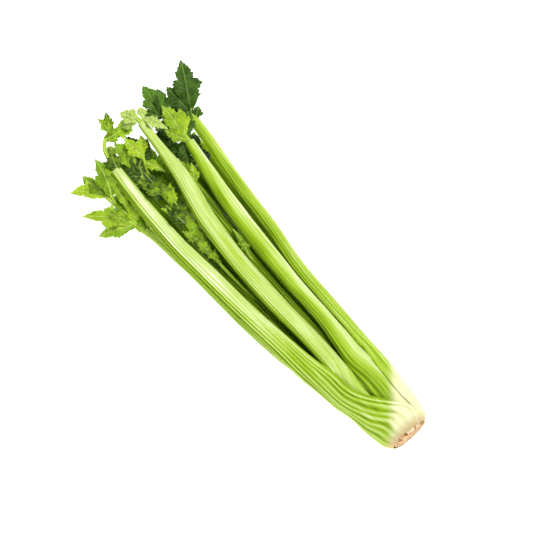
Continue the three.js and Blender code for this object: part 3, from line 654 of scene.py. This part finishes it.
def makeButt():
    rows = butt["profile"]
    fine = [[a + (b - a) * t / butt["fine"] for a, b in zip(low, high)]
            for low, high in zip(rows, rows[1:]) for t in range(butt["fine"])] + [list(rows[-1])]
    piece, spots = addGrid("butt_fine", len(fine) - 1, butt["around"])
    run = runAlong(fine)
    points, surface = [], []
    for i, j in spots:
        x, radius = fine[i]
        turn = 2 * math.pi * j / butt["around"]
        across, up = math.cos(turn), math.sin(turn)
        dry = fade(*butt["dry"][0], radius) * (1 - fade(*butt["dry"][1], x))
        grain = 0
        for strength, waves, length in butt["grain"]:
            grain += strength * noise.noise(Vector((waves * across, waves * up, run[i] / length)))
        radius += butt["relief"] * grain * dry * fade(butt["rim"], foot["cut"], radius)
        y, z = radius * across, foot["axis"] + radius * up
        lean = max(knifeX(z), 0) * (1 - min(x / butt["collar"], 1))
        inward = butt["inward"] * butt["relief"] * abs(grain) * dry
        points.append(place(x + lean + inward, y, z))
        surface.append((turn * foot["cut"] * mm, run[i] * mm))
    layOut(piece, points, surface, {})
    piece.data.materials.append(scar)
    closeTube(piece)
    shadeSmooth(piece, "butt")
    stand(piece, "butt")


makeButt()
print("butt made")


# Each half outline runs from the leafstalk to the tip as bay, tooth, bay, tooth ...: how far
# along, how far out
outlines = {
    "broad": ((0, 0.06), (0.24, 0.5), (0.25, 0.44), (0.31, 0.74), (0.34, 0.6), (0.385, 0.86),
              (0.4, 0.76), (0.455, 1), (0.49, 0.8), (0.52, 0.88), (0.525, 0.76), (0.575, 0.84),
              (0.58, 0.42), (0.65, 0.58), (0.66, 0.5), (0.71, 0.61), (0.735, 0.42), (0.79, 0.48),
              (0.8, 0.36), (0.84, 0.36), (0.85, 0.22), (0.92, 0.2), (0.925, 0.1), (1, 0)),
    "small": ((0, 0.1), (0.2, 0.44), (0.22, 0.38), (0.34, 0.88), (0.38, 0.62), (0.44, 0.8),
              (0.45, 0.7), (0.51, 0.98), (0.56, 0.5), (0.63, 0.56), (0.64, 0.48), (0.71, 0.6),
              (0.74, 0.34), (0.84, 0.34), (0.85, 0.2), (1, 0)),
}
# Small leaflets deep among the others, too thin and crowded to be solids of their own
crowded = {
    "leaves_f_top": (((322, 28, 33.5), (336, 40, 35), 16, -10, 0.1),
                     ((318, 28, 33), (322, 42, 33.5), 12, 0, 0.08),
                     ((331, 24, 37), (345, 3, 40), 17, 8, 0.1),
                     ((318, 28, 33), (303, 35, 34), 14, 6, 0.1)),
    "leaves_heart": (((298, 14, 22), (272, 12, 26), 24, 0, 0.08),
                     ((306, 14, 22.5), (330, 4, 29), 22, 8, 0.1),
                     ((306, 14, 22.5), (332, 21, 27), 22, -8, 0.1),
                     ((302, 15, 22.5), (294, 1, 24), 17, 0, 0.08)),
    "leaves_j_top": (((316, -13, 28.5), (330, -5, 31), 17, 0, 0.1),
                     ((316, -14, 27), (325, -36, 22), 22, 4, 0.06),
                     ((308, -13, 26.5), (305, -34, 21), 22, -4, 0.06)),
    "leaves_e_low": (((293, 56, 22.5), (315, 50, 30), 13, -10, 0.1),
                     ((284, 53, 24), (303, 46, 27), 14, 0, 0.1)),
    "leaves_e_high": (((306, 53, 26), (328, 57, 27), 18, 0, 0.1),),
    "leaves_a_top": (((366, 23, 46), (357, 9, 47), 16, 6, 0.1),),
    "leaves_inner": (((250, 27, 38), (272, 22, 40), 12, 10, 0.1),
                     ((230, 27, 37), (250, 30, 39.5), 11, -8, 0.1),
                     ((268, 27, 38.5), (290, 20, 39), 14, 8, 0.1),
                     ((292, 25.5, 39), (312, 31, 41), 13, -8, 0.1)),
}
blade = {
    "broadFrom": 12, "thickness": 0.5, "centre": 0.42,
    "rings": (0, 0.14, 0.28, 0.42, 0.55, 0.67, 0.78, 0.88, 0.95, 1),
    # how it departs from flat: in shares of its length or width, its puffs in millimetres
    "fold": 0.15, "foldSway": 0.6, "foldStep": 2.4, "droop": 0.09, "twist": 0.7, "twistAt": 0.4,
    "twistStep": 1.7, "wave": 0.08, "waveTurns": 8, "waveStep": 2.1, "sideStep": 1.3,
    "veinPitch": 4, "veinSlant": 0.8, "puff": 1.1, "puffFrom": 0.25, "puffEdge": 6,
    "curl": 0.1, "curlStart": (0, 6), "curlTurns": 19, "curlSlant": 2, "curlEdge": 4,
    "jitter": 0.03,  # of the corners of the outline
    "outer": (0.16, (0, 0.35, 0.7)), "inner": (0.05, (0, 0.5)),  # bulge and points of tooth edges
    "lowest": 0.4,  # height above the floor
    # tones: 0 is deep green and 1 young; the random range, then the painted light that leaflets gain
    # that lie high, the painted shade on those that lie low and what those at the outside gain,
    # between these heights and widths, and the painted shade on those deep among the others
    "tone": (-0.2, 0.9), "high": (0.4, 36, 46), "low": (-0.25, 28, 38), "outside": (0.2, 40, 60),
    "deep": -0.2,
}

# kind of leaf, stems as radius at the root, radius at the end, points, and leaflets as base, tip,
# width, roll, arch
sprays = {
    "leaves_e_low": ("bright", [
        (3.2, 2.2, (289, 55.5, 21), (296, 57, 23), (303, 61, 24.5))], [
        ((299, 60, 23.5), (331, 87, 26), 21, 8, 0.1),
        ((297, 59, 23.5), (309, 88, 20), 16, -10, 0.12),
        ((295, 59, 22), (303, 78, 17), 12, 14, 0.1),
        ((301, 60, 24.5), (320, 71, 30), 12, -16, 0.1)]),
    "leaves_e_high": ("bright", [
        (2.6, 1.8, (290, 55, 23), (304, 57, 26), (320, 60, 28.5), (333, 62.5, 30.5)),
        (1.7, 1.4, (316, 59.5, 28), (323, 59, 31), (329, 58.5, 32.5))], [
        ((326, 59, 31.5), (360, 48, 38), 24, 18, 0.1), ((330, 62, 30), (353, 83, 30), 20, 12, 0.12),
        ((331, 62, 30.5), (356, 67, 35), 16, -12, 0.1),
        ((308, 56, 27), (340, 51, 36), 12, 30, 0.08)]),
    "leaves_a_top": ("mid", [
        (2.2, 1.3, (334, 42, 36), (352, 40.5, 42), (361, 37.5, 45), (367, 30, 46), (367, 22, 46))], [
        ((366, 26, 46), (384, 25.5, 48), 13, 20, 0.08),
        ((367, 23, 46), (385, 17, 46), 10, -20, 0.08),
        ((366.5, 34, 45), (363, 16.5, 46), 14, 24, 0.14),
        ((351, 40, 42), (360, 31, 39), 12, 10, 0.1),
        ((338, 41, 38.5), (357, 35.5, 42.5), 14, -12, 0.12)]),
    "leaves_f_top": ("mid", [
        (2, 1.4, (314, 28, 32), (324, 28.5, 34), (334, 28.5, 37))], [
        ((333, 28.5, 36.5), (360, 27, 41), 22, 6, 0.1),
        ((326, 28, 34.5), (347, 37, 32), 18, -14, 0.12),
        ((321, 27.5, 33.5), (346, 20, 34), 22, 8, 0.1)]),
    "leaves_f_side": ("bright", [
        (1.7, 1.2, (312, 26, 34), (324, 21, 38.5), (337, 16, 42))], [
        ((333, 17, 41.5), (356, 20.5, 46), 16, -8, 0.1),
        ((336, 15.5, 42), (350, 6.5, 43.5), 11, 8, 0.1),
        ((330, 19, 40.2), (312, 11, 42.5), 11, 4, 0.1)]),
    "leaves_inner": ("mid", [
        (1.6, 1.1, (176, 23.5, 32), (200, 26, 35), (230, 27.5, 37), (262, 27, 38.5),
         (292, 25.5, 39), (304, 25, 39.5))], [
        ((298, 25.5, 39), (322, 25.5, 43), 15, -8, 0.1),
        ((294, 26, 39), (320, 34, 41.5), 12, -16, 0.1),
        ((285, 25.5, 39), (308, 21.5, 43), 13, 14, 0.1),
        ((281, 25.5, 39), (302, 14.5, 41), 11, -10, 0.12),
        ((263, 27, 38.5), (288, 30, 42), 14, -12, 0.1),
        ((272, 27, 38.5), (289, 34.5, 40.5), 9, 10, 0.1),
        ((245, 27.5, 38), (261, 34, 41.5), 11, -10, 0.12),
        ((240, 27.5, 37.5), (258, 21, 38.5), 10, 12, 0.1),
        ((217, 27, 36), (242, 31, 39), 9, 16, 0.08)]),
    "leaves_b_top": ("turned", [
        (2.6, 1.8, (350, 1, 52), (358, 1, 52.5), (362, 2, 52.5)),
        (1.6, 1.2, (355, 0, 52), (358, -3.5, 52.5))], [
        ((358, 2, 52.5), (376, 9, 50.5), 17, 0, 0.08), ((359, 3, 52), (368, 17, 48), 13, -14, 0.12),
        ((358, -2.5, 52), (369, -8, 49.5), 11, 12, 0.1),
        ((357.5, -3, 52.5), (337, -12.5, 54), 11, 10, 0.16)]),
    "leaves_c_top": ("dark", [
        (2.4, 1.4, (312, -20.5, 44.5), (326, -20, 43), (342, -18.5, 43), (356, -18.5, 44.5))], [
        ((352, -18.5, 44), (383, -23, 46.5), 23, 4, 0.08),
        ((350, -19, 43.5), (374, -32, 43), 17, 14, 0.1),
        ((350, -18, 44), (366, -8, 43), 14, -14, 0.12),
        ((324, -18, 41), (302, -8, 37.5), 14, 8, 0.02),
        ((330, -18, 42), (347, -8, 40.5), 15, 8, 0.12),
        ((322, -20, 42.5), (343, -41, 42.5), 14, 10, 0.1)]),
    "leaves_c_bright": ("bright", [
        (2, 1.2, (313, -21.5, 46), (322, -21.5, 47.5), (329, -21.5, 48.5))], [
        ((327, -21, 48), (357, -23, 51.5), 20, 4, 0.1),
        ((320, -20, 47.5), (339, -10, 51), 13, -18, 0.1),
        ((325, -21.5, 48), (347, -34, 46), 13, 12, 0.12)]),
    "leaves_d_top": ("dark", [
        (2.6, 1.6, (329, -40.3, 32.5), (338, -41.5, 35.5), (344, -43, 37)),
        (1.6, 1.2, (330, -38.5, 34.5), (337, -36.5, 37.5))], [
        ((342, -42.4, 36.6), (382, -64.5, 41.5), 27, 4, 0.08),
        ((341, -41, 36.5), (371, -39, 40), 19, -14, 0.1),
        ((342, -42, 36), (363, -59, 33), 15, 12, 0.12),
        ((335, -37, 37), (346, -32.5, 41), 13, 0, 0.1),
        ((334, -40.8, 34.2), (341, -50, 36), 12, 14, 0.12)]),
    "leaves_i_top": ("bright", [
        (1.6, 1.1, (286, -0.5, 35.5), (290, -2, 38.5))], [
        ((288, -1.5, 37.5), (303, -11, 43), 12, 10, 0.1),
        ((289, -2, 37.5), (317, -2, 36.5), 16, 0, 0.08)]),
    "leaf_i_low": ("bright", [
        (1.3, 1, (203, 3, 34.5), (209, 4, 38.5))], [
        ((207, 4, 37.5), (235, -0.5, 43), 9, 10, 0.08)]),
    "leaves_g_top": ("mid", [
        (2.2, 1.4, (322, 13, 5), (334, 13, 8), (342, 13, 10))], [
        ((340, 13, 10), (366, 11, 14), 21, 4, 0.12), ((335, 13, 8), (349, 0, 7), 15, 10, 0.14)]),
    "leaves_h_top": ("dark", [
        (2.2, 1.4, (325, -32.4, 5), (337, -33.5, 9), (345, -35, 12))], [
        ((343, -34.5, 11.5), (368, -42, 18), 21, 6, 0.12),
        ((338, -33.5, 9), (350, -49, 9), 15, 10, 0.14)]),
    "leaves_k_top": ("mid", [
        (2.2, 1.4, (320, 33, 4.5), (332, 34, 8), (340, 36, 11))], [
        ((338, 35.5, 10.5), (360, 43, 17), 20, -6, 0.12),
        ((333, 34, 8), (343, 52, 9), 15, -8, 0.14)]),
    "leaves_heart": ("bright", [
        (1.6, 1.2, (294, 14, 21.5), (306, 14, 22.5), (320, 13, 24))], [
        ((314, 13.5, 23), (344, 10, 29), 25, 0, 0.1),
        ((300, 14, 22), (320, 2, 24.5), 19, 8, 0.12)]),
    "leaves_j_top": ("dark", [
        (1.8, 1.2, (312, -12.8, 28), (324, -13.5, 29), (332, -14, 30))], [
        ((330, -14, 29.5), (356, -14, 33), 26, 6, 0.12),
        ((323, -14, 28.5), (343, -1, 29), 20, -8, 0.12)]),
}


def routeAt(route, t):  # Catmull-Rom through the points, t from 0 to 1
    spot = t * (len(route) - 1)
    k = min(int(spot), len(route) - 2)
    f = spot - k
    a, b, c, d = (route[min(max(k + i, 0), len(route) - 1)] for i in (-1, 0, 1, 2))
    return 0.5 * (2 * b + (c - a) * f + (2 * a - 5 * b + 4 * c - d) * f * f
                  + (3 * b - a - 3 * c + d) * f ** 3)


stemForm = {
    "steps": 6, "sides": 20,  # steps for each point of the route, and sides
    "ridges": 5, "relief": (0.92, 0.12),  # share of the radius in a groove, how much more on a ridge
    "round": 10, "end": 0.04,  # power that rounds the end, square of the share left there
    "skin": (0.1, 0.04),  # metres: where its skin pattern begins and how far it runs
    "tone": (0.35, 0.5),  # in a groove, and how much paler on a ridge
}


def makeStem(rootRadius, endRadius, *route):  # a ridged leafstalk
    route = [Vector(point) for point in route]
    steps, sides = stemForm["steps"] * len(route), stemForm["sides"]
    least, relief = stemForm["relief"]
    begins, runs = stemForm["skin"]
    groove, paler = stemForm["tone"]
    stem, spots = addGrid("stem", steps, sides)
    frames = []
    for k in range(steps + 1):
        along = (routeAt(route, min((k + 0.5) / steps, 1))
                 - routeAt(route, max((k - 0.5) / steps, 0))).normalized()
        side = Vector((0, 0, 1)).cross(along).normalized()
        frames.append((routeAt(route, k / steps), side, along.cross(side)))
    points, surface, ridges = [], [], []
    for k, j in spots:
        middle, side, up = frames[k]
        t, angle = k / steps, 2 * math.pi * j / sides
        ridge = 0.5 + 0.5 * math.cos(stemForm["ridges"] * angle)
        ends = math.sqrt(max(1 - max(2 * t - 1, 0) ** stemForm["round"], stemForm["end"]))
        radius = (rootRadius + (endRadius - rootRadius) * t) * (least + relief * ridge) * ends
        points.append(place(*(middle + side * radius * math.cos(angle)
                              + up * radius * math.sin(angle))))
        surface.append((begins + t * runs, radius * angle * mm))
        ridges.append(groove + paler * ridge)
    layOut(stem, points, surface, {"green": [1.0] * len(points), "ridge": ridges})
    stem.data.materials.append(skin)
    closeStem(stem)
    return stem


def closeStem(stem):
    weldSeam()
    bpy.ops.mesh.select_all(action="DESELECT")
    bpy.ops.mesh.select_non_manifold(use_wire=False, use_multi_face=False,
                                     use_non_contiguous=False, use_verts=False)
    bpy.ops.mesh.fill()
    faceOut()
    begins = stemForm["skin"][0]
    for spot in stem.data.uv_layers[0].data:
        if spot.uv.x < begins / 2:  # on the new ends
            spot.uv = (begins, 0)


def bladeOutline(width, length, draw):
    # the whole outline in shares of length and half width: up the left side and down the right
    turned = []
    for side in (1, -1):
        rows = outlines["broad" if width >= blade["broadFrom"] else "small"]
        spots = [Vector((u * length, v * width / 2)) for u, v in rows]
        for k in range(1, len(spots) - 1):
            spots[k] *= 1 + draw.uniform(-blade["jitter"], blade["jitter"])
        half = []
        for k, (a, b) in enumerate(zip(spots, spots[1:])):
            share, steps = blade["inner" if k % 2 else "outer"]
            bulge = share * (b - a).length
            normal = Vector((-(b - a).y, (b - a).x)).normalized()
            for t in steps:
                half.append(a.lerp(b, t) + normal * bulge * math.sin(math.pi * t))
        half.append(spots[-1])
        turned.append([Vector((p.x / length, side * p.y / (width / 2))) for p in half])
    left, right = turned
    return left + right[-2::-1] + [left[0]]


def bladeHeight(u, v, length, width, arch, index):  # above the line from the base to the tip
    bend = 4 * arch * u * (1 - u) - blade["droop"] * u ** 3
    fold = blade["fold"] * (1 + blade["foldSway"] * math.sin(blade["foldStep"] * index)) * abs(v)
    twist = blade["twist"] * math.sin(blade["twistStep"] * index + 1) * v / 2
    twist *= u - blade["twistAt"]
    phase = blade["waveStep"] * index + (blade["sideStep"] if v > 0 else 0)
    wave = blade["wave"] * math.sin(blade["waveTurns"] * u + phase) * v * v
    return (bend + wave) * length + (fold + twist) * width


def makeBlade(base, tip, width, roll, arch, index, draw, deep):
    start, along = Vector(base), Vector(tip) - Vector(base)
    length = along.length
    along.normalize()
    side = Vector((0, 0, 1)).cross(along).normalized()
    side = Matrix.Rotation(math.radians(roll), 3, along) @ side
    up = along.cross(side)
    outline = bladeOutline(width, length, draw)
    rings = blade["rings"]
    sheet, spots = addGrid("blade", len(rings) - 1, len(outline) - 1)
    centre = Vector((blade["centre"], 0))
    curl = draw.uniform(*blade["curlStart"])
    (high, *highRange), (low, *lowRange) = blade["high"], blade["low"]
    outer, *outerRange = blade["outside"]
    outside = fade(*outerRange, base[1])
    # painted light on leaflets that lie high, painted shade on those that lie low inside the head
    # and on the crowded ones deep among the others
    tone = draw.uniform(*blade["tone"]) + high * fade(*highRange, base[2]) + outer * outside
    tone += low * (1 - fade(*lowRange, base[2])) * (1 - outside) + blade["deep"] * deep
    points, surface = [], []
    for i, j in spots:
        u, v = centre.lerp(outline[j], rings[i])
        rise = bladeHeight(u, v, length, width, arch, index)
        rise += blade["curl"] * length * v ** blade["curlEdge"] * math.sin(
            blade["curlTurns"] * u + curl + blade["curlSlant"] * v)
        lean = u * length - blade["veinSlant"] * abs(v) * width / 2
        puff = blade["puff"] * (0.5 - 0.5 * math.cos(2 * math.pi * lean / blade["veinPitch"]))
        puff *= fade(0, blade["puffFrom"], abs(v)) * (1 - rings[i] ** blade["puffEdge"])
        points.append(place(*(start + along * u * length + side * v * width / 2
                              + up * (rise + puff))))
        surface.append((u * length * mm, v * width / 2 * mm))
    for point in points:
        point.z = max(point.z, blade["lowest"] * mm)
    layOut(sheet, points, surface, {"tone": [tone] * len(points)})
    weldSeam()
    faceOut()
    lifted = sum(face.normal.dot(up) * face.area for face in sheet.data.polygons)
    if lifted < 0:
        bpy.ops.object.mode_set(mode="EDIT")
        bpy.ops.mesh.flip_normals()
        bpy.ops.object.mode_set(mode="OBJECT")
    wall = sheet.modifiers.new("blade", "SOLIDIFY")
    wall.thickness = blade["thickness"] * mm
    wall.offset = 0
    wall.material_offset = 1
    return sheet


def makeSpray(node, kind, stems, leaflets):
    draw = random.Random(node)
    parts = []
    for index, leaflet in enumerate((*leaflets, *crowded.get(node, ()))):
        sheet = makeBlade(*leaflet, index, draw, index >= len(leaflets))
        for material in bladeFaces[kind]:
            sheet.data.materials.append(material)
        bpy.ops.object.modifier_apply(modifier="blade")
        parts.append(sheet)
    parts += [makeStem(*stem) for stem in stems]
    stand(joinAll(parts, node + "_fine"), node)


for node, plan in sprays.items():
    makeSpray(node, *plan)
print("sprays made:", len(sprays))


# Thread roots that the knife missed at the rim of the root plate: radius at the root, three times
# that of the tip, then the points
rootHairs = (
    (0.45, (3.4, -14.2, 33), (0.6, -17, 34), (-2.4, -18.6, 34.6)),
    (0.35, (2.6, -12.8, 36), (0.2, -14.6, 37.4), (-1, -15.2, 39)),
    (0.35, (4.6, -3, 12.2), (2.4, -3.4, 10.4), (0.6, -4.6, 9.4)),
    (0.3, (4.2, 6, 13.6), (2, 6.8, 12), (1, 8.2, 11)),
    (0.3, (2.4, 13, 30), (0, 14.4, 30.8), (-1.2, 14.8, 32)),
)


def makeRootHairs():
    hairs = []
    for radius, *route in rootHairs:
        hair = makeStem(radius, radius / 3, *route)
        hair.data.materials[0] = scar
        hairs.append(hair)
    piece = joinAll(hairs, "root_hairs")
    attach(piece, "root")


makeRootHairs()
print("root hairs made:", len(rootHairs))


studio = {
    "floor": "#f6f6f3", "floorSize": 8, "floorGlow": 0.85, "world": 0.15,
    "key": dict(at=(0.1, -0.75, 1.8), size=1.0, power=42),
    "fill": dict(at=(-0.3, 1.6, 0.9), size=1.0, power=16),
    "aim": (190.1, -3.9, 27), "azimuth": 230.1, "elevation": 72, "distance": 5.11,
    "lens": 400, "sensor": 36,
}


def makeFloor():
    # Opal acrylic of a light table: plain, matt and faintly lit from below, so shadows stay pale
    material, tree = newMaterial("opal acrylic")
    own = addNode(tree, "TexCoord").outputs["Object"]
    # a grain 2.5 mm across
    grain = addNode(tree, "TexNoise", {"Vector": own, "Scale": 1 / (2.5 * mm), "Detail": 2.0})
    bump = addNode(tree, "Bump", {"Height": grain.outputs["Fac"], "Strength": 0.05,
                                  "Distance": 0.2 * mm})
    finishMaterial(material, {
        "Base Color": linear(studio["floor"]), "Roughness": 0.9, "Normal": bump.outputs[0],
        "Emission Color": (1, 1, 1, 1), "Emission Strength": studio["floorGlow"]})
    bpy.ops.object.select_all(action="DESELECT")
    bpy.ops.mesh.primitive_plane_add(size=studio["floorSize"])
    floor = bpy.context.active_object
    floor.name = "floor"
    floor.data.materials.append(material)


def makeLight(name, at, size, power):
    light = bpy.data.lights.new(name, "AREA")
    light.size = size
    light.energy = power
    lamp = bpy.data.objects.new(name, light)
    lamp.location = at
    lamp.rotation_euler = (-Vector(at)).to_track_quat("-Z", "Y").to_euler()
    bpy.context.scene.collection.objects.link(lamp)


def makeCamera():
    turn, lift = math.radians(studio["azimuth"]), math.radians(studio["elevation"])
    right = Vector((math.cos(turn), math.sin(turn), 0))
    back = Vector((math.sin(turn) * math.cos(lift), -math.cos(turn) * math.cos(lift),
                   math.sin(lift)))
    camera = bpy.data.objects.new("camera", bpy.data.cameras.new("camera"))
    camera.data.lens = studio["lens"]
    camera.data.sensor_width = studio["sensor"]
    axes = Matrix((right, back.cross(right), back)).transposed().to_4x4()
    spot = place(*studio["aim"]) + back * studio["distance"]
    camera.matrix_world = Matrix.Translation(spot) @ axes
    bpy.context.scene.collection.objects.link(camera)
    bpy.context.scene.camera = camera


makeFloor()
makeLight("key", **studio["key"])
makeLight("fill", **studio["fill"])
world = bpy.data.worlds.new("studio")
world.use_nodes = True
sky = world.node_tree.nodes["Background"].inputs
sky["Color"].default_value = (1, 1, 1, 1)
sky["Strength"].default_value = studio["world"]
bpy.context.scene.world = world
bpy.context.scene.view_settings.view_transform = "Standard"
makeCamera()
print("studio set")
